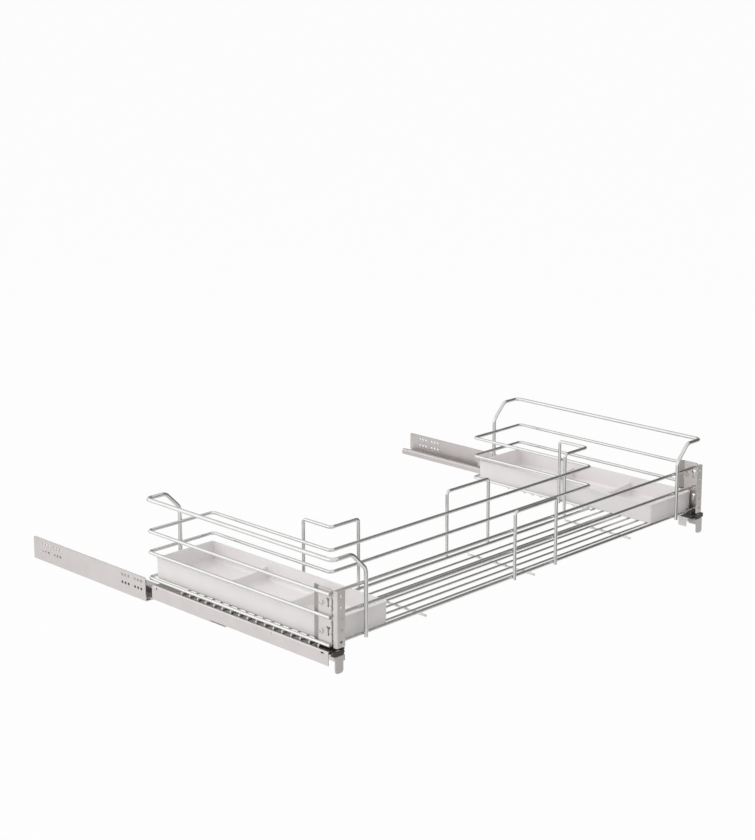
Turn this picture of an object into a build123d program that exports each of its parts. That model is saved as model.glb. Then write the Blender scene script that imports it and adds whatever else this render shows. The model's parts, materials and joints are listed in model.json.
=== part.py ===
from build123d import *
import os

# Under-sink pull-out basket: a welded wire basket, cut out behind for the sink trap, with a
# lift-out tray in each arm and a full-extension runner under each side.
# It is drawn fully pulled out. X runs across the cabinet, Y runs back into it and Z is up.
# The origin is under the middle of the whole object, level with the tips of its levers.
# All sizes are in millimetres.

# The cabinet and the way the basket runs in it
cabinet_width = 864.0  # between the cabinet's side walls
side_gap = 9.3  # from a cabinet wall to the middle of the nearest basket wire
travel = 360.0  # how far the basket slides from open to closed

# The basket in plan, from wire centre to wire centre
basket_depth = 379.6
front_depth = 124.5  # from the front wires back to the sink cut-out
arm_width = 124.5
middle_ring_rise = 39.3
upper_ring_rise = 71.5
wire_bend = 6.0

# Wire sizes. Welded wires touch, less a hair that keeps the solids apart.
frame_wire = 5.0
floor_wire = 3.5
guard_wire = 6.0
weld_gap = 0.05

# Floor wires
front_spaces = 7  # equal spaces between the front wires and the cut-out
arm_floor_count = 11
floor_overhang = 2.5  # past the side and arm wires at each end
cross_wire_inset = 61.2  # from the arm's inner wire to the outer cross wires
cross_wire_front = 4.0
cross_wire_back = 3.5

# Hoops and guard rails that stand on the frame
hoop_half_width = 47.5
front_hoop_rise = 100.5
inner_hoop_rise = 103.0
corner_hoop_rise = 103.5
corner_hoop_arm = 56.0
hoop_foot = 3.0
hoop_bend = 5.0
guard_post_inset = 64.7  # from the side wire in to the post
guard_knee_rise = 92.0
guard_rail_rise = 118.5
guard_rail_inset = 2.1
guard_lean = 26.5  # sideways and upwards between knee and rail
guard_foot = 4.0
guard_knee_bend = 15.0
guard_bend = 9.0

# Side plates, door brackets and their clamp screws
plate_sheet = 2.0
plate_height = 80.0
plate_front = 3.0  # in front of the front wires
plate_joggle_y = 24.0
plate_joggle = 1.0
plate_back = 32.0
plate_back_lean = 1.0  # the strip behind the joggle slopes inboard this far
plate_corner = 3.0
plate_bend = 1.2
screw_y = 16.4
screw_heights = (15.6, 55.8)
screw_dia = 4.0
screw_hole = 4.6
screw_head_dia = 7.0
screw_head_height = 2.2
recess_length = 4.0
recess_width = 0.9
recess_depth = 1.0
nut_size = 4.0
nut_thickness = 1.6
keyhole_y = 3.0
keyhole_width = 8.2
keyhole_stem = 3.0
keyhole_height = 12.5
keyhole_rise = 3.0  # above the screw beside it
seam_notch = 1.5
seam_notch_rises = (16.0, 32.0, 55.0, 66.0)
bracket_sheet = 1.5
bracket_reach = 13.0  # in front of the front wires
bracket_height = 79.5
bracket_flange = 15.3
bracket_edge = 0.3  # set in from the side plate's outer face
bracket_play = 2.0  # height adjustment up and down
bracket_gap = 0.3
bracket_tongue = 15.5
bracket_tongue_back = 23.0
bracket_bend = 1.6
joggle_bend = 1.0
front_hole = 4.4
front_hole_pitch = 16.0
front_hole_count = 5
front_hole_inset = 8.1

# Trays
tray_inner_gap = 3.8  # to the arm's inner wire
tray_outer_gap = 5.9  # to the side wire, clear of the clamp nuts when the tray is lifted
tray_front = 5.0  # behind the front wires
tray_back = 5.6  # in front of the rear wires
tray_height = 32.3
tray_wall = 2.0
tray_corner = 4.0
tray_foot_round = 2.5
tray_draft = 0.7
tray_rim = 3.0
tray_rim_step = 0.7
tray_seat_gap = 0.3
tray_rooms = 3
divider_height = 22.0
divider_dip = 5.0
divider_foot = 9.0
divider_top = 3.6
divider_round = 1.4

# Runners. A place across the runner is measured inboard from the cabinet wall.
run_gap = 0.3  # round every roller and slide
roller_dia = 3.6
roller_length = 10.0
roller_edge = 8.0
roller_count = 4
roller_pitch = 24.0
cage_length = 90.0
upper_cage_back = 13.0  # in front of the drawer profile's rear end
cage_strip = 2.0
cage_wing = 0.8
cage_wing_width = 3.0
cabinet_sheet = 1.5
cabinet_bend = 1.3
cabinet_setback = 17.3  # behind the front wires when the basket is closed
cabinet_length = 280.2
cabinet_top = 2.0
cabinet_bottom = 34.7
cabinet_corner = 3.0
runner_width = 24.0
lip_return = 6.0
fixing_hole = 4.5
fixing_rows = (5.7, 17.5)  # below the bottom frame wire's centre
fixing_steps = (0.0, 7.5, 15.0, 30.0, 37.5, 45.0)
fixing_front = 10.0  # from the front end to the first hole
fixing_back = 24.7  # from the last hole to the rear end
runner_sheet = 1.2
drawer_edge = 2.8  # wall to the drawer profile's outer face
drawer_bend = 1.1
drawer_front = 5.5
drawer_back = 14.1  # in front of the rear wires
drawer_bottom = 27.0
drawer_front_bottom = 25.7
drawer_step_y = 235.0
drawer_web_start = 24.0
drawer_web_strip = 6.2
drawer_seat_gap = 0.3
drawer_hole = 3.0
drawer_holes = (50.0, 105.0)
drawer_rear_hole = 10.5  # from the rear end
drawer_corner = 4.0
drawer_slot = 6.0
drawer_slot_y = 6.0
drawer_hole_drop = 3.4
middle_shortfall = 10.2  # shorter than the cabinet profile
middle_web = 2.4
middle_web_place = 13.0
middle_upper_edge = 6.0
middle_lower_edge = 4.6
middle_inner_edge = 20.6
front_stop = 3.6  # high enough to hold the carriage, clear of the middle profile

# The catch under each front corner
clip_edges = (10.0, 31.0)
clip_front = 9.0
nose_edges = (6.0, 26.4)
nose_front = 12.8
nose_back = 6.5  # in front of the drawer profile
nose_wall = 1.3
clip_back = 22.0
clip_bottom = 12.5
clip_round = 1.5
jaw_edges = (18.0, 30.0)
jaw_wall = 3.0
jaw_rise = 0.9
jaw_snap = 0.05
catch_sheet = 1.2
catch_gap = 0.1
catch_bend = 1.1
catch_edge = 27.0
catch_front = 2.5
catch_bottom = 29.5
catch_leg_bottom = 24.0
catch_nose = 16.5
catch_nose_length = 4.0
catch_slot = 8.0
catch_slot_width = 2.6
catch_slot_drop = 16.4
lever_drop = 37.7
lever_edges = (10.1, 23.9)
lever_front = 12.8
lever_thickness = 2.5
lever_top_gap = 1.4  # lets the tab swing clear of the clip's nose
lever_tip_round = 4.0
lever_arm_edges = (25.0, 27.0)
lever_arm_top = 14.5
lever_arm_bottom = 21.9
lever_arm_end = 1.5
lever_link_edges = (13.0, 21.0)
lever_hub = 5.0
lever_stem = 3.5
lever_root = 3.0
lever_tooth = 3.0
lever_tooth_height = 3.0
latch_gap = 0.5
lever_swing_gap = 0.5
pin_dia = 3.0
pin_fit = 0.04
pin_drop = 9.5
pin_end_gap = 1.0

# Where these sizes put the basket
cabinet_start = travel + cabinet_setback
object_depth = bracket_reach + cabinet_start + cabinet_length
front_y = bracket_reach - object_depth / 2
wire_z = lever_drop
side_x = cabinet_width / 2 - side_gap
inner_x = side_x - arm_width
cut_out_y = front_y + front_depth
rear_y = front_y + basket_depth
tray_width = arm_width - frame_wire - tray_inner_gap - tray_outer_gap
tray_length = basket_depth - tray_front - tray_back
plate_outer = side_x - frame_wire / 2
plate_inner = plate_outer - plate_sheet
plate_bottom = wire_z - frame_wire / 2
post_offset = frame_wire + weld_gap
guard_offset = (frame_wire + guard_wire) / 2 + weld_gap
floor_pitch = front_depth / front_spaces
floor_z = wire_z - (frame_wire + floor_wire) / 2 - weld_gap
cross_z = floor_z - floor_wire - weld_gap

# Heights through the runner, from the floor wires down
web_top = floor_z - floor_wire / 2 - drawer_seat_gap
web_under = web_top - runner_sheet
roller_space = roller_dia + 2 * run_gap
wing_space = cage_wing + 2 * run_gap
upper_flange_top = web_under - roller_space
upper_flange_under = upper_flange_top - runner_sheet
drawer_return_top = upper_flange_under - wing_space
cabinet_web_top = wire_z - cabinet_bottom + cabinet_sheet
lower_flange_under = cabinet_web_top + roller_space
lower_flange_top = lower_flange_under + runner_sheet
lip_top = lower_flange_top + wing_space + cabinet_sheet

# Places along the runner
cabinet_front_y = front_y + cabinet_start
cabinet_back_y = cabinet_front_y + cabinet_length
middle_back_y = cabinet_back_y - cabinet_sheet - 2 * run_gap - travel / 2
middle_length = cabinet_length - middle_shortfall
middle_front_y = middle_back_y - middle_length
drawer_front_y = front_y - drawer_front
drawer_back_y = rear_y - drawer_back
drawer_length = drawer_back_y - drawer_front_y
lower_cage_y = cabinet_front_y + cabinet_sheet + 2 * run_gap
upper_cage_y = drawer_back_y - cage_length - upper_cage_back
pin_y = front_y - nose_front + nose_wall + lever_swing_gap + lever_hub / 2
pin_z = wire_z - pin_drop

os.makedirs("parts", exist_ok=True)


def save(piece, name):
    """Label a finished piece and write it under the same name."""
    piece.part.label = name
    export_step(piece.part, f"parts/{name}.step")


def wall_plane(side, y):
    """Upright plane across a runner: x runs inboard from the cabinet wall, y is up."""
    return Plane(origin=(side * cabinet_width / 2, y, 0), x_dir=(-side, 0, 0), z_dir=(0, side, 0))


def inboard_plane(side, inboard):
    """Upright plane along a runner, this far inboard from the cabinet wall: x is Y, y is Z."""
    return Plane.YZ.offset(side * (cabinet_width / 2 - inboard))


def block(side, edges, y_range, z_range):
    """A box between two places across the runner, two along it and two heights."""
    with BuildSketch(inboard_plane(side, edges[0])) as end_face:
        with Locations((sum(y_range) / 2, sum(z_range) / 2)):
            Rectangle(y_range[1] - y_range[0], z_range[1] - z_range[0])
    return extrude(end_face.sketch, amount=-side * (edges[1] - edges[0]), mode=Mode.PRIVATE)


def sheet_section(plane, middle_line, bends, thickness):
    """The section of folded sheet metal, from the line along the middle of the sheet."""
    with BuildSketch(plane) as section:
        with BuildLine():
            FilletPolyline(*middle_line, radius=bends)
        trace(line_width=thickness)
    return section.sketch


def bent_wire(name, points, diameter, bend):
    """A wire bent along the given points, with square-cut ends."""
    with BuildPart() as wire:
        with BuildLine() as route:
            FilletPolyline(*points, radius=bend)
        with BuildSketch(Plane(origin=route.line @ 0, z_dir=route.line % 0)):
            Circle(diameter / 2)
        sweep()
    save(wire, name)


def wires_across(name, spans, diameter, places):
    """Straight wires side by side along X, at the given places in Y and Z."""
    with BuildPart() as wires:
        for start, end in spans:
            with BuildSketch(Plane.YZ.offset(start)):
                with Locations(*places):
                    Circle(diameter / 2)
            extrude(amount=end - start)
    save(wires, name)


# The basket frame: three wires bent round the sides, the arms and the cut-out
ring_start_y = front_y - frame_wire / 2
ring_rises = {
    "bottom_frame_wire": 0.0,
    "middle_ring_wire": middle_ring_rise,
    "upper_ring_wire": upper_ring_rise,
}
for ring_name, rise in ring_rises.items():
    half_ring = [(side_x, ring_start_y), (side_x, rear_y), (inner_x, rear_y), (inner_x, cut_out_y)]
    left_half = [(-x, y, wire_z + rise) for x, y in half_ring]
    right_half = [(x, y, wire_z + rise) for x, y in reversed(half_ring)]
    bent_wire(ring_name, left_half + right_half, frame_wire, wire_bend)

front_end = plate_inner - weld_gap
front_places = [(front_y, wire_z + rise) for rise in ring_rises.values()]
wires_across("front_wires", [(-front_end, front_end)], frame_wire, front_places)

# The floor: thin wires under the frame, and three cross wires under those
front_floor = [(front_y + step * floor_pitch, floor_z) for step in range(1, front_spaces)]
arm_floor = [(cut_out_y + step * floor_pitch, floor_z) for step in range(arm_floor_count)]
floor_end = side_x + floor_overhang
arm_floor_end = inner_x + floor_overhang
wires_across("front_floor_wires", [(-floor_end, floor_end)], floor_wire, front_floor)
wires_across("left_floor_wires", [(-floor_end, -arm_floor_end)], floor_wire, arm_floor)
wires_across("right_floor_wires", [(arm_floor_end, floor_end)], floor_wire, arm_floor)

with BuildPart() as cross_wires:
    with BuildSketch(Plane.XZ.offset(cross_wire_front - front_y)):
        with Locations(*[(step * (inner_x - cross_wire_inset), cross_z) for step in (-1, 0, 1)]):
            Circle(floor_wire / 2)
    extrude(amount=-(cross_wire_front + front_depth + cross_wire_back))
save(cross_wires, "cross_wires")


def hoop(name, y, rise):
    """An upright hoop that keeps what stands in the front of the basket from tipping."""
    foot_z = wire_z - hoop_foot
    top_z = wire_z + rise
    corners = [(-hoop_half_width, foot_z), (-hoop_half_width, top_z)]
    corners += [(hoop_half_width, top_z), (hoop_half_width, foot_z)]
    bent_wire(name, [(x, y, z) for x, z in corners], frame_wire, hoop_bend)


hoop("front_hoop", front_y - post_offset, front_hoop_rise)
hoop("inner_hoop", cut_out_y + post_offset, inner_hoop_rise)


def corner_hoop(side, hand):
    """A hoop bent round the corner where an arm meets the front of the basket."""
    corner_x = side * (inner_x - post_offset)
    corner_y = cut_out_y + post_offset
    foot_z = wire_z - hoop_foot
    top_z = wire_z + corner_hoop_rise
    points = [
        (corner_x, corner_y + corner_hoop_arm, foot_z),
        (corner_x, corner_y + corner_hoop_arm, top_z),
        (corner_x, corner_y, top_z),
        (corner_x - side * corner_hoop_arm, corner_y, top_z),
        (corner_x - side * corner_hoop_arm, corner_y, foot_z),
    ]
    bent_wire(f"{hand}_corner_hoop", points, frame_wire, hoop_bend)


def guard_rail(side, hand):
    """A high rail along one arm, on a cranked post at the front and at the rear."""
    post_x = side * (side_x - guard_post_inset)
    rail_x = side * (side_x - guard_rail_inset)
    lean_x = post_x + side * guard_lean
    knee_z = wire_z + guard_knee_rise
    rail_z = wire_z + guard_rail_rise
    post_points = [(post_x, wire_z - guard_foot), (post_x, knee_z), (lean_x, rail_z), (rail_x, rail_z)]
    points = [(x, front_y - guard_offset, z) for x, z in post_points]
    points += [(x, rear_y + guard_offset, z) for x, z in reversed(post_points)]
    post_bends = [guard_knee_bend, guard_knee_bend, guard_bend]
    bent_wire(f"{hand}_guard_rail", points, guard_wire, post_bends + post_bends[::-1])


def keyhole(side, inboard):
    """A funnel over a narrow stem, punched beside each clamp screw."""
    half_key = keyhole_width / 2
    half_stem = keyhole_stem / 2
    funnel = [
        (-half_key, keyhole_height / 2),
        (half_key, keyhole_height / 2),
        (half_stem, half_stem),
        (half_stem, -keyhole_height / 2),
        (-half_stem, -keyhole_height / 2),
        (-half_stem, half_stem),
    ]
    places = [(front_y + keyhole_y, wire_z + height + keyhole_rise) for height in screw_heights]
    with BuildSketch(Plane.YZ.offset(side * inboard)) as punched:
        with Locations(*places):
            Polygon(*funnel, align=None)
    return punched.sketch


def side_plate(side, hand):
    """The plate welded inside the ends of the side wires, with its rear edge joggled inboard."""
    plan = Plane(origin=(side * plate_outer, front_y, plate_bottom), x_dir=(0, 1, 0), z_dir=(0, 0, side))
    middle = plate_sheet / 2
    middle_line = [
        (-plate_front, middle),
        (plate_joggle_y, middle),
        (plate_joggle_y + plate_joggle, middle + plate_joggle),
        (plate_back, middle + plate_joggle + plate_back_lean),
    ]
    with BuildPart() as plate:
        extrude(sheet_section(plan, middle_line, plate_bend, plate_sheet), amount=side * plate_height)
        across = plate.edges().filter_by(Axis.X)
        fillet(across.group_by(Axis.Y)[0], plate_corner)
        with BuildSketch(Plane.YZ.offset(side * plate_outer)):
            with Locations(*[(front_y + screw_y, wire_z + height) for height in screw_heights]):
                Circle(screw_hole / 2)
            with Locations(*[(front_y - plate_front, wire_z + rise) for rise in seam_notch_rises]):
                Circle(seam_notch)
        extrude(amount=-side * plate_sheet, mode=Mode.SUBTRACT)
        extrude(keyhole(side, plate_outer), amount=-side * plate_sheet, mode=Mode.SUBTRACT)
    save(plate, f"{hand}_side_plate")


def door_bracket(side, hand):
    """The angle that carries the front panel, with two tongues clamped inside the side plate."""
    plan = Plane(origin=(side * plate_outer, front_y, plate_bottom), x_dir=(0, 1, 0), z_dir=(0, 0, side))
    middle = bracket_sheet / 2
    beside_plate = bracket_edge + middle
    behind_plate = plate_sheet + bracket_gap + middle
    joggle_end = -plate_front - bracket_gap - middle
    joggle_start = joggle_end - (behind_plate - beside_plate)
    middle_line = [
        (middle - bracket_reach, bracket_edge + bracket_flange),
        (middle - bracket_reach, beside_plate),
        (joggle_start, beside_plate),
        (joggle_end, behind_plate),
        (bracket_tongue_back, behind_plate),
    ]
    window_front = joggle_start + front_y
    window_back = front_y + bracket_tongue_back + 1
    tongues = [wire_z + height for height in screw_heights]
    window_ends = [plate_bottom - 1]
    for tongue_z in tongues:
        window_ends += [tongue_z - bracket_tongue / 2, tongue_z + bracket_tongue / 2]
    window_ends.append(plate_bottom + bracket_height + 1)
    with BuildPart() as bracket:
        bends = [bracket_bend, joggle_bend, joggle_bend]
        section = sheet_section(plan, middle_line, bends, bracket_sheet)
        extrude(section, amount=side * bracket_height)
        with BuildSketch(Plane.YZ.offset(side * plate_outer)):
            for low, high in zip(window_ends[::2], window_ends[1::2]):
                with Locations(((window_front + window_back) / 2, (low + high) / 2)):
                    Rectangle(window_back - window_front, high - low)
            with Locations(*[(front_y + screw_y, tongue_z) for tongue_z in tongues]):
                SlotOverall(screw_hole + 2 * bracket_play, screw_hole, rotation=90)
        extrude(amount=-side * bracket_flange, mode=Mode.SUBTRACT)
        tongue_punch = keyhole(side, plate_inner)
        extrude(tongue_punch, amount=-side * (bracket_gap + bracket_sheet), mode=Mode.SUBTRACT)
        holes_x =side * (plate_outer - bracket_edge - front_hole_inset)
        with BuildSketch(Plane.XZ.offset(bracket_reach - front_y)):
            with Locations((holes_x, plate_bottom + bracket_height / 2)):
                with GridLocations(1, front_hole_pitch, 1, front_hole_count):
                    Circle(front_hole / 2)
        extrude(amount=-bracket_sheet, mode=Mode.SUBTRACT)
    save(bracket, f"{hand}_door_bracket")


def clamp_screws(side, hand):
    """Two pan-head screws with cross recesses, through the side plate and the tongues."""
    head_x = side * plate_outer
    shank = plate_sheet + bracket_gap + bracket_sheet + weld_gap + nut_thickness
    places = [(front_y + screw_y, wire_z + height) for height in screw_heights]
    with BuildPart() as screws:
        with BuildSketch(Plane.YZ.offset(head_x)):
            with Locations(*places):
                Circle(screw_head_dia / 2)
        extrude(amount=side * screw_head_height)
        crown = screws.edges().group_by(Axis.X)[-1 if side > 0 else 0]
        fillet(crown, screw_head_height * 0.6)
        with BuildSketch(Plane.YZ.offset(head_x)):
            with Locations(*places):
                Circle(screw_dia / 2)
        extrude(amount=-side * shank)
        with BuildSketch(Plane.YZ.offset(head_x + side * screw_head_height)):
            for place in places:
                with Locations(place):
                    Rectangle(recess_length, recess_width, rotation=45)
                    Rectangle(recess_length, recess_width, rotation=-45)
        extrude(amount=-side * recess_depth, mode=Mode.SUBTRACT)
    save(screws, f"{hand}_clamp_screws")


def clamp_nuts(side, hand):
    """The nuts that the clamp screws draw against the tongues."""
    face_x = side * (plate_inner - bracket_gap - bracket_sheet - weld_gap)
    with BuildPart() as nuts:
        with BuildSketch(Plane.YZ.offset(face_x)):
            with Locations(*[(front_y + screw_y, wire_z + height) for height in screw_heights]):
                RegularPolygon(nut_size, 6)
                Circle(screw_dia / 2 + pin_fit / 2, mode=Mode.SUBTRACT)
        extrude(amount=-side * nut_thickness)
    save(nuts, f"{hand}_clamp_nuts")


def drafted_tub(center, top_z, inset, height, foot_round):
    """A solid tub that narrows downwards, its walls set in this far from the tray's rim."""
    with BuildPart() as tub:
        with BuildSketch(Plane.XY.offset(top_z)):
            with Locations(center):
                RectangleRounded(tray_width - 2 * inset, tray_length - 2 * inset, tray_corner - inset)
        extrude(amount=-height, taper=tray_draft)
        fillet(tub.faces().sort_by(Axis.Z)[0].edges(), foot_round)
    return tub.part


def divider_ridge(place, half_width, foot_inset):
    """A drafted ridge across a tray with a rounded top, lower in the middle than at the walls."""
    across = [
        (-half_width, divider_height),
        (-half_width, foot_inset),
        (foot_inset - half_width, 0),
        (half_width - foot_inset, 0),
        (half_width, foot_inset),
        (half_width, divider_height),
    ]
    along = [
        (-divider_foot / 2, 0),
        (divider_foot / 2, 0),
        (divider_top / 2, divider_height),
        (-divider_top / 2, divider_height),
    ]
    with BuildPart() as ridge:
        with BuildSketch(Plane.XZ):
            with BuildLine():
                Polyline(*across)
                ThreePointArc(across[-1], (0, divider_height - divider_dip), across[0])
            make_face()
        extrude(amount=divider_foot, both=True)
        with BuildSketch(Plane.YZ):
            Polygon(*along, align=None)
        extrude(amount=half_width, both=True, mode=Mode.INTERSECT)
        crest = ridge.faces().filter_by(GeomType.CYLINDER).edges().filter_by(Axis.Y, reverse=True)
        fillet(crest, divider_round)
    return ridge.part.moved(Location(place))


def tray(side, hand):
    """A moulded tray that lifts out of one arm, with low dividers across it."""
    center_x = side * (inner_x + frame_wire / 2 + tray_inner_gap + tray_width / 2)
    center = (center_x, front_y + tray_front + tray_length / 2)
    bottom_z = floor_z + floor_wire / 2 + tray_seat_gap
    top_z = bottom_z + tray_height
    inside = tray_rim_step + tray_wall
    shell = drafted_tub(center, top_z, tray_rim_step, tray_height, tray_foot_round)
    hollow = drafted_tub(center, top_z, inside, tray_height - tray_wall, tray_foot_round - tray_wall)
    half_width = tray_width / 2 - inside + tray_wall / 2
    ridges = []
    for divider in range(1, tray_rooms):
        divider_y = center[1] + (divider / tray_rooms - 0.5) * tray_length
        place = (center_x, divider_y, bottom_z + tray_wall / 2)
        ridges.append(divider_ridge(place, half_width, tray_foot_round))
    with BuildPart() as tub:
        add(shell)
        with BuildSketch(Plane.XY.offset(top_z)):
            with Locations(center):
                RectangleRounded(tray_width, tray_length, tray_corner)
        extrude(amount=-tray_rim)
        add(hollow, mode=Mode.SUBTRACT)
        add(ridges)
    save(tub, f"{hand}_tray")


def cabinet_profile(side, hand):
    """The fixed profile that screws to the cabinet wall, folded into a channel at its foot."""
    middle = cabinet_sheet / 2
    bottom_z = wire_z - cabinet_bottom + middle
    middle_line = [
        (middle, wire_z + cabinet_top),
        (middle, bottom_z),
        (runner_width - middle, bottom_z),
        (runner_width - middle, lip_top - middle),
        (runner_width - lip_return, lip_top - middle),
    ]
    stop_edges = (middle_lower_edge + 4, middle_inner_edge - 2)
    first_holes = (cabinet_front_y + fixing_front, cabinet_back_y - fixing_back - fixing_steps[-1])
    with BuildPart() as profile:
        section = sheet_section(wall_plane(side, cabinet_front_y), middle_line, cabinet_bend, cabinet_sheet)
        extrude(section, amount=side * cabinet_length)
        plate_top = profile.edges().filter_by(Axis.X).group_by(Axis.Z)[-1]
        fillet(plate_top, cabinet_corner)
        stops = [
            (cabinet_front_y, cabinet_web_top + front_stop),
            (cabinet_back_y - cabinet_sheet, lower_flange_top),
        ]
        for stop_y, stop_top in stops:
            stop_z = (cabinet_web_top - cabinet_sheet / 2, stop_top)
            add(block(side, stop_edges, (stop_y, stop_y + cabinet_sheet), stop_z))
        with BuildSketch(Plane.YZ.offset(side * cabinet_width / 2)):
            for row in fixing_rows:
                for first in first_holes:
                    with Locations(*[(first + step, wire_z - row) for step in fixing_steps]):
                        Circle(fixing_hole / 2)
        extrude(amount=-side * cabinet_sheet, mode=Mode.SUBTRACT)
    save(profile, f"{hand}_cabinet_profile")


def middle_profile(side, hand):
    """The sliding profile between the other two: two channels welded back to back."""
    with BuildPart() as profile:
        with BuildSketch(wall_plane(side, middle_front_y)):
            flanges = ((middle_lower_edge, lower_flange_under), (middle_upper_edge, upper_flange_under))
            for edge, under in flanges:
                with Locations((edge, under)):
                    Rectangle(middle_inner_edge - edge, runner_sheet, align=(Align.MIN, Align.MIN))
            with Locations((middle_web_place, lower_flange_under)):
                web_height = upper_flange_top - lower_flange_under
                Rectangle(middle_web, web_height, align=(Align.CENTER, Align.MIN))
        extrude(amount=side * middle_length)
    save(profile, f"{hand}_middle_profile")


def drawer_profile(side, hand):
    """The profile under the basket: a deep outer flange, a web and a shallow inner channel."""
    middle = runner_sheet / 2
    middle_line = [
        (runner_width - lip_return, drawer_return_top - middle),
        (runner_width - middle, drawer_return_top - middle),
        (runner_width - middle, web_top - middle),
        (drawer_edge + middle, web_top - middle),
        (drawer_edge + middle, wire_z - drawer_bottom),
    ]
    front_cut = (drawer_edge + drawer_web_strip, runner_width + 1)
    front_length = (drawer_front_y - 1, front_y + drawer_web_start)
    step = (drawer_front_y - 1, front_y + drawer_step_y)
    hole_places = [front_y + place for place in drawer_holes] + [drawer_back_y - drawer_rear_hole]
    with BuildPart() as profile:
        section = sheet_section(wall_plane(side, drawer_front_y), middle_line, drawer_bend, runner_sheet)
        extrude(section, amount=side * drawer_length)
        cut_z = (wire_z - drawer_bottom, web_top + 1)
        add(block(side, front_cut, front_length, cut_z), mode=Mode.SUBTRACT)
        lower_edge = (wire_z - drawer_bottom - 1, wire_z - drawer_front_bottom)
        add(block(side, (0, runner_width), step, lower_edge), mode=Mode.SUBTRACT)
        with BuildSketch(inboard_plane(side, 0)):
            with Locations((drawer_back_y - drawer_corner, web_top - drawer_corner)):
                corner_box = drawer_corner + 1
                Rectangle(corner_box, corner_box, align=(Align.MIN, Align.MIN))
                Circle(drawer_corner, mode=Mode.SUBTRACT)
        extrude(amount=-side * (runner_width + 1), mode=Mode.SUBTRACT)
        hole_z = web_top - drawer_hole_drop
        with BuildSketch(inboard_plane(side, drawer_edge)):
            with Locations(*[(place, hole_z) for place in hole_places]):
                Circle(drawer_hole / 2)
            with Locations((front_y + drawer_slot_y, hole_z)):
                SlotOverall(drawer_slot, drawer_hole * 0.7)
        extrude(amount=-side * runner_sheet, mode=Mode.SUBTRACT)
    save(profile, f"{hand}_drawer_profile")


def roller_carriage(side, name, start_y, axis_z, wing_z):
    """A moulded cage that slides between two profiles, and the rollers it carries.

    A thin wing on a riser along the cage's inner edge reaches behind the middle profile's
    flange, so the profiles can't lift apart.
    """
    cage_edges = (middle_upper_edge - 1, middle_inner_edge + run_gap + cage_wing)
    riser_edges = (middle_inner_edge + run_gap, cage_edges[1])
    wing_edges = (riser_edges[1] - cage_wing_width, riser_edges[1])
    cage_span = (start_y, start_y + cage_length)
    riser_ends = sorted((axis_z, wing_z + (cage_wing / 2 if wing_z > axis_z else -cage_wing / 2)))
    first_roller = start_y + (cage_length - (roller_count - 1) * roller_pitch) / 2
    roller_places = [first_roller + step * roller_pitch for step in range(roller_count)]
    with BuildPart() as cage:
        add(block(side, cage_edges, cage_span, (axis_z - cage_strip / 2, axis_z + cage_strip / 2)))
        add(block(side, riser_edges, cage_span, riser_ends))
        add(block(side, wing_edges, cage_span, (wing_z - cage_wing / 2, wing_z + cage_wing / 2)))
        half_window = roller_dia / 2 + run_gap
        window_edges = (roller_edge - run_gap, roller_edge + roller_length + run_gap)
        window_z = (axis_z - cage_strip, axis_z + cage_strip)
        for y in roller_places:
            window = block(side, window_edges, (y - half_window, y + half_window), window_z)
            add(window, mode=Mode.SUBTRACT)
    save(cage, f"{name}_cage")
    with BuildPart() as rollers:
        with BuildSketch(inboard_plane(side, roller_edge)):
            with Locations(*[(y, axis_z) for y in roller_places]):
                Circle(roller_dia / 2)
        extrude(amount=-side * roller_length)
    save(rollers, f"{name}_rollers")


def lock_clip(side, hand):
    """The black clip that snaps onto the front wire and the first floor wire."""
    z_range = (wire_z - clip_bottom, web_top)
    y_range = (front_y - clip_front, front_y + clip_back)
    front_jaw = frame_wire / 2 + jaw_wall
    floor_jaw = floor_wire / 2 + jaw_wall / 2
    floor_wire_y = front_y + floor_pitch
    nose_y = (front_y - nose_front, front_y - nose_back)
    with BuildPart() as clip:
        add(block(side, clip_edges, y_range, z_range))
        add(block(side, nose_edges, nose_y, z_range))
        fillet(clip.edges().filter_by(Axis.Z), clip_round)
        jaws = [
            (front_y, front_jaw, wire_z + jaw_rise),
            (floor_wire_y, floor_jaw, floor_z),
        ]
        for jaw_y, half_jaw, jaw_top in jaws:
            add(block(side, jaw_edges, (jaw_y - half_jaw, jaw_y + half_jaw), (web_top - 1, jaw_top)))
        with BuildSketch(inboard_plane(side, jaw_edges[0] - 1)):
            with Locations((front_y, wire_z)):
                Circle(frame_wire / 2 + jaw_snap)
            with Locations((floor_wire_y, floor_z)):
                Circle(floor_wire / 2 + jaw_snap)
        extrude(amount=-side * (jaw_edges[1] - jaw_edges[0] + 2), mode=Mode.SUBTRACT)
        slot_edges = (lever_link_edges[0] - lever_swing_gap, lever_link_edges[1] + lever_swing_gap)
        half_slot = lever_hub / 2 + lever_swing_gap
        slot_z = (wire_z - clip_bottom - 1, wire_z + jaw_rise + 1)
        add(block(side, slot_edges, (pin_y - half_slot, pin_y + half_slot), slot_z), mode=Mode.SUBTRACT)
        with BuildSketch(inboard_plane(side, nose_edges[0])):
            with Locations((pin_y, pin_z)):
                Circle(pin_dia / 2 + pin_fit / 2)
        extrude(amount=-side * (clip_edges[1] - nose_edges[0]), mode=Mode.SUBTRACT)
    save(clip, f"{hand}_lock_clip")


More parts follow.
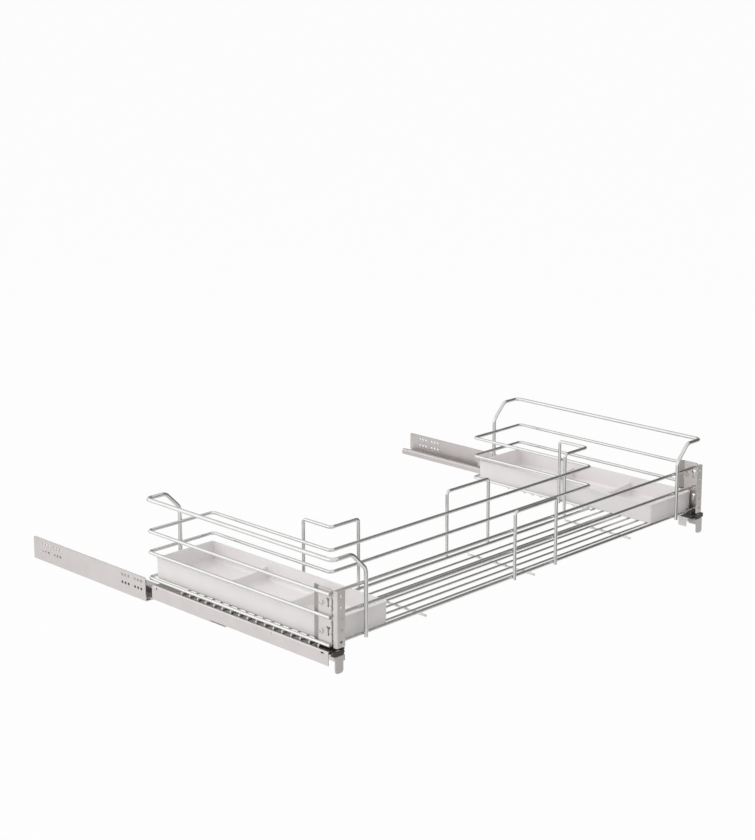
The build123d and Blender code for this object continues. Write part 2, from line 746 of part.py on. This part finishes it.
def catch_bracket(side, hand):
    """The steel catch inside the drawer profile, with the tab that the lever hooks under."""
    middle = catch_sheet / 2
    ledge_z = wire_z - clip_bottom - run_gap - middle
    wall_edge = drawer_edge + runner_sheet + catch_gap + middle
    middle_line = [
        (catch_edge - middle, wire_z - catch_bottom),
        (catch_edge - middle, ledge_z),
        (wall_edge, ledge_z),
        (wall_edge, wire_z - catch_leg_bottom),
    ]
    start_y = front_y + catch_front
    length = clip_back - catch_front
    tab_edges = (catch_edge - catch_sheet - 1, catch_edge + 1)
    with BuildPart() as catch:
        section = sheet_section(wall_plane(side, start_y), middle_line, catch_bend, catch_sheet)
        extrude(section, amount=side * length)
        below_nose = (wire_z - catch_bottom - 1, wire_z - catch_nose)
        nose_cut = (start_y - 1, start_y + catch_nose_length)
        add(block(side, tab_edges, nose_cut, below_nose), mode=Mode.SUBTRACT)
        with BuildSketch(inboard_plane(side, catch_edge)):
            with Locations((start_y + length / 2, wire_z - catch_slot_drop)):
                SlotOverall(catch_slot, catch_slot_width)
        extrude(amount=side * catch_sheet, mode=Mode.SUBTRACT)
    save(catch, f"{hand}_catch_bracket")


def release_lever(side, hand):
    """The grey lever: a thumb tab, a stem up to its hub on the pin and an arm with a hook."""
    tab_y = (front_y - lever_front, front_y - lever_front + lever_thickness)
    tab_top = wire_z - clip_bottom - lever_top_gap
    arm_z = (wire_z - lever_arm_bottom, wire_z - lever_arm_top)
    arm_y = (tab_y[0], front_y + lever_arm_end)
    stem_y = (pin_y + lever_hub / 2 - lever_stem, pin_y + lever_hub / 2)
    root_z = (tab_top - lever_root, tab_top)
    tooth_z = (wire_z - catch_nose - latch_gap - lever_tooth_height, wire_z - catch_nose - latch_gap)
    with BuildPart() as lever:
        add(block(side, lever_edges, tab_y, (0, tab_top)))
        tip = lever.edges().filter_by(Axis.Y).group_by(Axis.Z)[0]
        fillet(tip, lever_tip_round)
        add(block(side, (lever_edges[1] - 1, lever_arm_edges[1]), tab_y, (arm_z[0], tab_top)))
        add(block(side, lever_arm_edges, arm_y, arm_z))
        add(block(side, lever_arm_edges, (arm_y[1] - 1, arm_y[1] + lever_tooth), tooth_z))
        add(block(side, lever_link_edges, (tab_y[1] - 1, stem_y[1]), root_z))
        add(block(side, lever_link_edges, stem_y, (root_z[0], pin_z)))
        with BuildSketch(inboard_plane(side, lever_link_edges[0])):
            with Locations((pin_y, pin_z)):
                Circle(lever_hub / 2)
        extrude(amount=-side * (lever_link_edges[1] - lever_link_edges[0]))
        with BuildSketch(inboard_plane(side, lever_link_edges[0])):
            with Locations((pin_y, pin_z)):
                Circle(pin_dia / 2 + pin_fit)
        extrude(amount=-side * (lever_link_edges[1] - lever_link_edges[0]), mode=Mode.SUBTRACT)
    save(lever, f"{hand}_release_lever")


def lever_pin(side, hand):
    """The steel pin that the lever swings on."""
    pin_edges = (nose_edges[0] + pin_end_gap, nose_edges[1] - pin_end_gap)
    with BuildPart() as pin:
        with BuildSketch(inboard_plane(side, pin_edges[0])):
            with Locations((pin_y, pin_z)):
                Circle(pin_dia / 2)
        extrude(amount=-side * (pin_edges[1] - pin_edges[0]))
    save(pin, f"{hand}_lever_pin")


for side, hand in ((-1, "left"), (1, "right")):
    corner_hoop(side, hand)
    guard_rail(side, hand)
    side_plate(side, hand)
    door_bracket(side, hand)
    clamp_screws(side, hand)
    clamp_nuts(side, hand)
    tray(side, hand)
    cabinet_profile(side, hand)
    middle_profile(side, hand)
    drawer_profile(side, hand)
    upper_axis = web_under - roller_space / 2
    upper_wing = upper_flange_under - wing_space / 2
    roller_carriage(side, f"{hand}_upper", upper_cage_y, upper_axis, upper_wing)
    lower_axis = cabinet_web_top + roller_space / 2
    lower_wing = lower_flange_top + wing_space / 2
    roller_carriage(side, f"{hand}_lower", lower_cage_y, lower_axis, lower_wing)
    lock_clip(side, hand)
    catch_bracket(side, hand)
    release_lever(side, hand)
    lever_pin(side, hand)
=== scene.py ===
import json
import math

import bmesh
import bpy
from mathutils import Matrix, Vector


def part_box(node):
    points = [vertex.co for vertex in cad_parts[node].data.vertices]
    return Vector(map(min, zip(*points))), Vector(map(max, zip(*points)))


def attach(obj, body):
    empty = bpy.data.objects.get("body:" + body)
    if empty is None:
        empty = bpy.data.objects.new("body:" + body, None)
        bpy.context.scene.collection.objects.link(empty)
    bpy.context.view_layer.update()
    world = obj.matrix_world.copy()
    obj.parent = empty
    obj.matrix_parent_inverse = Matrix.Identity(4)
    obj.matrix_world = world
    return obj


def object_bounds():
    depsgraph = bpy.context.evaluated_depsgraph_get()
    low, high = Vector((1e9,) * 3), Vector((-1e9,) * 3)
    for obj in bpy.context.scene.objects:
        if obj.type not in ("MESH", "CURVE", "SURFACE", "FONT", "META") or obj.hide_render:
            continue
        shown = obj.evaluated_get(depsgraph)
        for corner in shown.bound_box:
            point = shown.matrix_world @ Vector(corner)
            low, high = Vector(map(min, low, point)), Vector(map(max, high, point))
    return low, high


# The looks of an under-sink pull-out basket: bright chrome wire, zinc-plated sheet steel and
# moulded plastic, on a white studio floor. Lengths are in metres, in the frame of the model.

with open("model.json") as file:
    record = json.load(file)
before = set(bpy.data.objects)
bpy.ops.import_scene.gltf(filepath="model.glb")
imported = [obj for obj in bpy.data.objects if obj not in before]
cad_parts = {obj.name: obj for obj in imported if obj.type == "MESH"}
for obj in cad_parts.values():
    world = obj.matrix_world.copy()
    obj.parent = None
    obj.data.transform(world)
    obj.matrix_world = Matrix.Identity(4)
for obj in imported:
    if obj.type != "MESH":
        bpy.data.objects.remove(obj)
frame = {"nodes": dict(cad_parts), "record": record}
cad_low, cad_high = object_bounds()

MM = 0.001


# Materials

# Most values of a noise texture lie between these two.
noise_low, noise_high = 0.3, 0.7


def linear(code):
    """The linear colour of an sRGB hex value such as "C8C9CB"."""
    channels = [int(code[i:i + 2], 16) / 255 for i in (0, 2, 4)]
    return [c / 12.92 if c <= 0.04045 else ((c + 0.055) / 1.055) ** 2.4 for c in channels] + [1.0]


def add(tree, kind, inputs=None, **settings):
    """Adds a node, sets its settings and fills its inputs with values or with other nodes' outputs."""
    node = tree.nodes.new(kind)
    for name, value in settings.items():
        setattr(node, name, value)
    for name, value in (inputs or {}).items():
        if isinstance(value, bpy.types.NodeSocket):
            tree.links.new(value, node.inputs[name])
        else:
            node.inputs[name].default_value = value
    return node


def empty_material(name):
    """A material without any nodes yet, and its node tree."""
    material = bpy.data.materials.new(name)
    material.use_nodes = True
    material.node_tree.nodes.clear()
    return material, material.node_tree


def surface(name, **shader_inputs):
    """A material with a Principled shader, and the coordinates of the object in metres."""
    material, tree = empty_material(name)
    place = add(tree, "ShaderNodeTexCoord").outputs["Object"]
    shader = add(tree, "ShaderNodeBsdfPrincipled", shader_inputs)
    add(tree, "ShaderNodeOutputMaterial", {"Surface": shader.outputs["BSDF"]})
    return material, tree, place, shader


def mottled(tree, place, size, detail=2.0, stretch=(1, 1, 1)):
    """Noise whose patches are about this size in metres, longer along the stretched directions."""
    scaled = add(tree, "ShaderNodeMapping", {"Vector": place, "Scale": [1 / s for s in stretch]})
    noise_inputs = {"Vector": scaled.outputs["Vector"], "Scale": 1 / size, "Detail": detail}
    return add(tree, "ShaderNodeTexNoise", noise_inputs).outputs["Fac"]


def tinted(tree, pattern, dark, light):
    """A colour that goes with a pattern from one hex value to another."""
    share = add(tree, "ShaderNodeMapRange", {"Value": pattern, "From Min": noise_low, "From Max": noise_high})
    colours = {"Factor": share.outputs["Result"], 6: linear(dark), 7: linear(light)}
    return add(tree, "ShaderNodeMix", colours, data_type="RGBA").outputs[2]


def painted_shade_where(tree, colour, tests, code):
    """Paints shade: turns a colour into a darker hex value where all tests hold. Each is a value, an
    operation and a limit.
    """
    share = 1.0
    for value, operation, limit in tests:
        holds = add(tree, "ShaderNodeMath", {0: value, 1: limit}, operation=operation)
        share = add(tree, "ShaderNodeMath", {0: holds.outputs[0], 1: share}, operation="MULTIPLY").outputs[0]
    colours = {"Factor": share, 6: colour, 7: linear(code)}
    return add(tree, "ShaderNodeMix", colours, data_type="RGBA").outputs[2]


def textured(tree, shader, sheen, roughness, relief, depth, strength):
    """Varies the shader's roughness with one pattern, and raises another by a depth in metres."""
    limits = {"From Min": noise_low, "From Max": noise_high, "To Min": roughness[0], "To Max": roughness[1]}
    varied = add(tree, "ShaderNodeMapRange", {"Value": sheen, **limits})
    tree.links.new(varied.outputs["Result"], shader.inputs["Roughness"])
    raised = add(tree, "ShaderNodeBump", {"Height": relief, "Distance": depth, "Strength": strength})
    tree.links.new(raised.outputs["Normal"], shader.inputs["Normal"])


def chrome_plate():
    """Bright chrome on drawn steel wire: a mirror, a little soft where the drawing left it uneven."""
    material, tree, place, shader = surface("bright_chrome_plate", Metallic=1.0)
    patches = mottled(tree, place, 18 * MM)
    tree.links.new(tinted(tree, patches, "D3D3D2", "DADAD9"), shader.inputs["Base Color"])
    # Drawing through the die leaves shallow waves about 5 mm long, which make the reflections waver.
    waves = mottled(tree, place, 5 * MM)
    textured(tree, shader, patches, (0.13, 0.18), waves, 0.02 * MM, 0.10)
    return material


def zinc_sheet(name, dark, light, grain, roughness, shade_painter=None):
    """Zinc-plated sheet: a satin grey sheen, with faint streaks along the way the sheet was rolled."""
    material, tree, place, shader = surface(name, Metallic=1.0)
    # Rolling streaks are about 0.1 mm wide, too fine to show, so they are drawn 0.8 mm wide.
    streaks = mottled(tree, place, 0.8 * MM, detail=3.0, stretch=grain)
    clouds = mottled(tree, place, 25 * MM)
    colour = tinted(tree, clouds, dark, light)
    # shade_painter, if given, paints shade into the colour.
    if shade_painter is not None:
        colour = shade_painter(tree, place, colour)
    tree.links.new(colour, shader.inputs["Base Color"])
    textured(tree, shader, streaks, (roughness - 0.06, roughness + 0.06), streaks, 0.01 * MM, 0.25)
    return material


# How far behind the front edge of a side plate the step ends that its rear strip makes.
plate_step = 24.95 * MM


def painted_shade_rear_strip(tree, place, colour):
    """The press steps a plate's rear strip inward; that strip is painted a darker grey, as painted shade for
    the shade that falls on it.
    """
    spot = add(tree, "ShaderNodeSeparateXYZ", {"Vector": place})
    step_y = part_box("left_side_plate")[0].y + plate_step
    return painted_shade_where(tree, colour, [(spot.outputs["Y"], "GREATER_THAN", step_y)], "ABA6A3")


# The level flange of each drawer profile lies between these heights, and its outer bend beyond this reach.
flange_low, flange_high = 28 * MM, 33 * MM
flange_reach = 427 * MM
# The upward part of a level face's normal is more than this.
level_normal = 0.8


def painted_shade_under_wires(tree, place, colour):
    """Painted shade: the level tops of the drawer profiles' flanges, close under the basket's wires, are
    painted darker where shade falls.
    """
    spot = add(tree, "ShaderNodeSeparateXYZ", {"Vector": place})
    outward = add(tree, "ShaderNodeMath", {0: spot.outputs["X"]}, operation="ABSOLUTE")
    normal = add(tree, "ShaderNodeNewGeometry").outputs["True Normal"]
    upward = add(tree, "ShaderNodeSeparateXYZ", {"Vector": normal})
    tests = [
        (upward.outputs["Z"], "GREATER_THAN", level_normal),
        (spot.outputs["Z"], "GREATER_THAN", flange_low),
        (spot.outputs["Z"], "LESS_THAN", flange_high),
        (outward.outputs[0], "LESS_THAN", flange_reach)]
    return painted_shade_where(tree, colour, tests, "B2AEAB")


def moulded_plastic(name, dark, light, roughness, grain_size, depth):
    """Moulded plastic: an even colour under a fine spark-eroded grain that softens its highlights."""
    material, tree, place, shader = surface(name, IOR=1.5)
    # Spark-eroded grain is about 0.1 mm across, too fine to show, so it is drawn nearly 1 mm across.
    grain = mottled(tree, place, grain_size, detail=3.0)
    clouds = mottled(tree, place, 40 * MM)
    tree.links.new(tinted(tree, clouds, dark, light), shader.inputs["Base Color"])
    textured(tree, shader, grain, (roughness - 0.05, roughness + 0.05), grain, depth, 0.3)
    return material


along_y = (1, 60, 1)
along_z = (1, 1, 60)
no_grain = (1, 1, 1)
finishes = {
    "bright_chrome": chrome_plate(),
    # Pressed sheet, whose rolling streaks run up the plates, and roll-formed profiles, which they run along.
    # The plates' rear strips are painted darker, as painted shade.
    "plate_steel": zinc_sheet("zinc_plated_sheet", "D3CFCD", "DAD6D4", along_z, 0.42, painted_shade_rear_strip),
    # The profiles' flanges under the wires are painted darker, as painted shade.
    "runner_steel": zinc_sheet("zinc_plated_rolled_profile", "D3CECD", "D8D3D2", along_y, 0.45, painted_shade_under_wires),
    # Small turned parts leave the plating barrel smoother and brighter than sheet does.
    "screw_steel": zinc_sheet("bright_zinc_screw", "C9C9C9", "DADADA", no_grain, 0.22),
    # ABS from a grained mould has a soft, broad sheen. The levers' moulds are a little smoother.
    "tray_plastic": moulded_plastic("light_grey_abs_grained", "E8E4E4", "ECE8E8", 0.45, 0.9 * MM, 0.03 * MM),
    "lever_plastic": moulded_plastic("mid_grey_abs", "C3BEBB", "C9C5C2", 0.40, 0.8 * MM, 0.02 * MM),
    # Acetal looks slightly waxy: dyed black in the clips, milky in the cages, polished on the rollers.
    "clip_plastic": moulded_plastic("black_acetal", "35302E", "3B3633", 0.38, 0.8 * MM, 0.02 * MM),
    "cage_plastic": moulded_plastic("natural_acetal", "DDDAD0", "E4E1D8", 0.42, 0.8 * MM, 0.02 * MM),
    "roller_plastic": moulded_plastic("white_acetal_roller", "EAE8E2", "F0EEE9", 0.30, 0.8 * MM, 0.01 * MM),
}
for subpart in frame["record"]["subparts"]:
    node = frame["nodes"][subpart["node"]]
    node.data.materials.clear()
    node.data.materials.append(finishes[subpart["material_slot"]])


# Details that the CAD model leaves out

def new_piece(name, bm, body, slot):
    """A smooth piece in the finish of a slot, which moves with a body."""
    bmesh.ops.recalc_face_normals(bm, faces=bm.faces)
    for face in bm.faces:
        face.smooth = True
    mesh = bpy.data.meshes.new(name)
    bm.to_mesh(mesh)
    bm.free()
    mesh.materials.append(finishes[slot])
    piece = bpy.data.objects.new(name, mesh)
    bpy.context.collection.objects.link(piece)
    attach(piece, body)


# Two wires of one node lie further apart than this, and no wire is thicker.
wire_gap = 4 * MM


def wire_places(node_name, axis):
    """The middle of each of a node's parallel wires, along one axis."""
    places = sorted(vertex.co[axis] for vertex in frame["nodes"][node_name].data.vertices)
    wires = [[places[0]]]
    for place in places[1:]:
        if place - wires[-1][-1] > wire_gap:
            wires.append([])
        wires[-1].append(place)
    return [(wire[0] + wire[-1]) / 2 for wire in wires]


def weld_nugget(bm, x, y, z):
    """The metal that spot welding squeezes out between two crossed wires, most of it in their corners."""
    reach = 1.7 * MM
    corner_share = 0.22
    half_height = 0.9 * MM
    rings, spokes = 5, 16
    levels = []
    for i in range(1, rings):
        rise = math.pi * (i / rings - 0.5)
        ring = []
        for j in range(spokes):
            turn = 2 * math.pi * j / spokes
            out = reach * math.cos(rise) * (1 - corner_share * math.cos(4 * turn))
            point = (x + out * math.cos(turn), y + out * math.sin(turn), z + half_height * math.sin(rise))
            ring.append(bm.verts.new(point))
        levels.append(ring)
    bottom = bm.verts.new((x, y, z - half_height))
    top = bm.verts.new((x, y, z + half_height))
    for j in range(spokes):
        k = (j + 1) % spokes
        for low, high in zip(levels, levels[1:]):
            bm.faces.new((low[j], low[k], high[k], high[j]))
        bm.faces.new((bottom, levels[0][k], levels[0][j]))
        bm.faces.new((top, levels[-1][j], levels[-1][k]))


# The middle of the bottom frame wire, at the sides and beside the cut-out, where the arms' floor wires end
# at its near side.
frame_wire = 5.0 * MM
frame_low, frame_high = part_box("bottom_frame_wire")
side_x = frame_high.x - frame_wire / 2
inner_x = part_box("right_floor_wires")[0].x - frame_wire / 2
# The heights where the floor wires meet the frame wire above them and the cross wires below.
floor_wires_low, floor_wires_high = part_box("front_floor_wires")
frame_contact_z = (floor_wires_high.z + frame_low.z) / 2
cross_contact_z = (floor_wires_low.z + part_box("cross_wires")[1].z) / 2

nuggets = bmesh.new()
for y in wire_places("front_floor_wires", 1):
    for x in (-side_x, side_x):
        weld_nugget(nuggets, x, y, frame_contact_z)
    for x in wire_places("cross_wires", 0):
        weld_nugget(nuggets, x, y, cross_contact_z)
for side, node_name in ((-1, "left_floor_wires"), (1, "right_floor_wires")):
    for y in wire_places(node_name, 1):
        for x in (side_x, inner_x):
            weld_nugget(nuggets, side * x, y, frame_contact_z)
new_piece("floor_weld_nuggets", nuggets, "basket", "bright_chrome")


def cove_ring(bm, room, leans, floor_z, radius):
    """A hollow fillet round the floor of one room of a tray, where its mould was rounded.

    room is its low x, high x, low y and high y at the floor, and leans says how far each of those walls
    leans out for each millimetre of height."""
    steps, corner_steps = 6, 3
    corner = 1.3 * MM
    sunk = 0.3 * MM
    section = [(-sunk, -sunk), (radius, -sunk)]
    for i in range(1, steps):
        turn = math.pi / 2 * i / steps
        section.append((radius * (1 - math.sin(turn)), radius * (1 - math.cos(turn))))
    section.append((-sunk, radius))
    loops = []
    for inset, height in section:
        walls = []
        for wall, inward, lean in zip(room, (1, -1, 1, -1), leans):
            walls.append(wall + inward * (inset - lean * max(height, 0.0)))
        x0, x1, y0, y1 = walls
        corners = (
            (x1 - corner, y1 - corner, 0),
            (x0 + corner, y1 - corner, 90),
            (x0 + corner, y0 + corner, 180),
            (x1 - corner, y0 + corner, 270))
        loop = []
        for x, y, start in corners:
            for j in range(corner_steps + 1):
                turn = math.radians(start + 90 * j / corner_steps)
                point = (x + corner * math.cos(turn), y + corner * math.sin(turn), floor_z + height)
                loop.append(bm.verts.new(point))
        loops.append(loop)
    for low, high in zip(loops, loops[1:] + loops[:1]):
        for j in range(len(low)):
            k = (j + 1) % len(low)
            bm.faces.new((low[j], low[k], high[k], high[j]))


# A tray's rooms: the inset is from the outside of the rim to the inside of the wall at the floor.
wall_inset = 3.07 * MM
wall_lean = 0.012
ridge_half = 4.38 * MM
ridge_lean = 0.123
tray_floor = 2.0 * MM
cove_radius = 5.0 * MM

for side in ("left", "right"):
    low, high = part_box(side + "_tray")
    ridges = [low.y + (high.y - low.y) * share for share in (1 / 3, 2 / 3)]
    starts = [(low.y + wall_inset, wall_lean)] + [(ridge + ridge_half, ridge_lean) for ridge in ridges]
    stops = [(ridge - ridge_half, ridge_lean) for ridge in ridges] + [(high.y - wall_inset, wall_lean)]
    coves = bmesh.new()
    for (start_y, start_lean), (stop_y, stop_lean) in zip(starts, stops):
        room = (low.x + wall_inset, high.x - wall_inset, start_y, stop_y)
        leans = (wall_lean, wall_lean, start_lean, stop_lean)
        cove_ring(coves, room, leans, low.z + tray_floor, cove_radius)
    new_piece(side + "_tray_coves", coves, side + "_tray_body", "tray_plastic")


# The studio: a white floor below the basket, which hangs between its runners

floor_z = cad_low.z - 0.30
floor_reach = 60.0
shade_kept = 0.04
world_level = 0.78


def looked_at(tree):
    """1 for what the camera sees, straight, mirrored or through something clear, else 0."""
    path = add(tree, "ShaderNodeLightPath")
    seen = path.outputs["Is Camera Ray"]
    for ray in ("Is Glossy Ray", "Is Transmission Ray"):
        seen = add(tree, "ShaderNodeMath", {0: path.outputs[ray], 1: seen}, operation="MAXIMUM").outputs[0]
    return seen


def floor_finish():
    """Matt white that shows as plain white, with only a small share of its shading kept."""
    material, tree = empty_material("white_studio_floor")
    share = add(tree, "ShaderNodeMath", {0: looked_at(tree), 1: 1 - shade_kept}, operation="MULTIPLY")
    matt = add(tree, "ShaderNodeBsdfDiffuse", {"Color": linear("CACACA")})
    white = add(tree, "ShaderNodeEmission", {"Color": linear("FFFFFF"), "Strength": 1.0})
    mix = add(tree, "ShaderNodeMixShader", {0: share.outputs[0], 1: matt.outputs[0], 2: white.outputs[0]})
    add(tree, "ShaderNodeOutputMaterial", {"Surface": mix.outputs[0]})
    return material


def level(x0, x1, y0, y1, z):
    """The corners of a level sheet."""
    return [(x0, y0, z), (x1, y0, z), (x1, y1, z), (x0, y1, z)]


def upright(x, y0, y1, z0, z1):
    """The corners of an upright sheet that stands across X."""
    return [(x, y0, z0), (x, y1, z0), (x, y1, z1), (x, y0, z1)]


def studio_sheet(name, corners, material):
    """A flat sheet that belongs to the studio."""
    mesh = bpy.data.meshes.new(name)
    mesh.from_pydata(corners, [], [(0, 1, 2, 3)])
    mesh.materials.append(material)
    sheet = bpy.data.objects.new(name, mesh)
    bpy.context.collection.objects.link(sheet)
    return sheet


floor_corners = level(-floor_reach, floor_reach, -floor_reach, floor_reach, floor_z)
studio_sheet("studio_floor", floor_corners, floor_finish())

world = bpy.data.worlds.new("studio")
bpy.context.scene.world = world
world.use_nodes = True
sky = world.node_tree
sky.nodes.clear()
sky_strength = add(sky, "ShaderNodeMapRange", {"Value": looked_at(sky), "To Min": world_level, "To Max": 1.0})
sky_inputs = {"Color": linear("FFFFFF"), "Strength": sky_strength.outputs["Result"]}
sky_light = add(sky, "ShaderNodeBackground", sky_inputs)
add(sky, "ShaderNodeOutputWorld", {"Surface": sky_light.outputs[0]})


def softbox(name, place, target, size, power):
    """A square soft light that looks at a point.

    Metal doesn't mirror it: a lamp adds to the white behind it there, which would bleach the wires."""
    lamp = bpy.data.lights.new(name, "AREA")
    lamp.shape = "SQUARE"
    lamp.size = size
    lamp.energy = power
    holder = bpy.data.objects.new(name, lamp)
    holder.location = place
    holder.rotation_euler = (Vector(target) - Vector(place)).to_track_quat("-Z", "Y").to_euler()
    holder.visible_glossy = False
    bpy.context.collection.objects.link(holder)


middle = (0.0, 0.0, 0.08)
softbox("key_softbox", (-2.3, 1.7, 1.6), middle, 4.2, 64.0)
softbox("top_softbox", (0.2, 0.4, 2.6), middle, 3.2, 8.0)


def curtain(name, corners, code, strength=1.0):
    """A studio curtain, reflector or card: the camera doesn't see it, but bright metal mirrors it."""
    material, tree = empty_material(name)
    glow = add(tree, "ShaderNodeEmission", {"Color": linear(code), "Strength": strength})
    add(tree, "ShaderNodeOutputMaterial", {"Surface": glow.outputs[0]})
    sheet = studio_sheet(name, corners, material)
    sheet.visible_camera = False
    sheet.visible_diffuse = False
    sheet.visible_shadow = False
    sheet.visible_transmission = False


# The grey curtains on the right darken the wires that run across the basket, and the grey cards on the floor
# darken the upright plates. The white reflector on the left brightens the wires that run to the back.
curtain_x = 2.2
curtain_foot, curtain_head = -0.3, 3.0
for name, front_y, rear_y, code in (
        ("front_curtain", -4.0, -2.25, "B4B2AF"),
        ("dark_curtain", -2.25, 0.3, "72706D"),
        ("rear_curtain", 0.3, 4.5, "A8A6A3")):
    curtain(name, upright(curtain_x, front_y, rear_y, curtain_foot, curtain_head), code)
reflector_x = -2.6
curtain("white_reflector", upright(reflector_x, -0.5, 4.5, -0.28, 3.5), "FFFFFF", strength=1.5)

card_z = floor_z + 0.01
curtain("grey_card", level(-0.4, 4.0, -5.0, -1.0, card_z), "8F8B88")
curtain("rear_card", level(-0.8, 0.7, 0.9, 2.6, card_z), "83807D")


# The camera, at the photograph's viewing angle

focal_pixels = 1813.0
frame_height = 840

camera_data = bpy.data.cameras.new("camera")
camera = bpy.data.objects.new("camera", camera_data)
bpy.context.collection.objects.link(camera)
bpy.context.scene.camera = camera
camera.location = (-2.0039, -1.9624, 0.9465)
heading = math.radians(45.580)
tilt = math.radians(10.781)
ahead = Vector((math.sin(heading) * math.cos(tilt), math.cos(heading) * math.cos(tilt), -math.sin(tilt)))
camera.rotation_euler = ahead.to_track_quat("-Z", "Y").to_euler()
camera_data.sensor_width = 36.0
camera_data.lens = focal_pixels / frame_height * camera_data.sensor_width
camera_data.shift_y = -0.15
camera_data.clip_start = 0.05
camera_data.clip_end = 200.0

bpy.context.scene.view_settings.view_transform = "Standard"
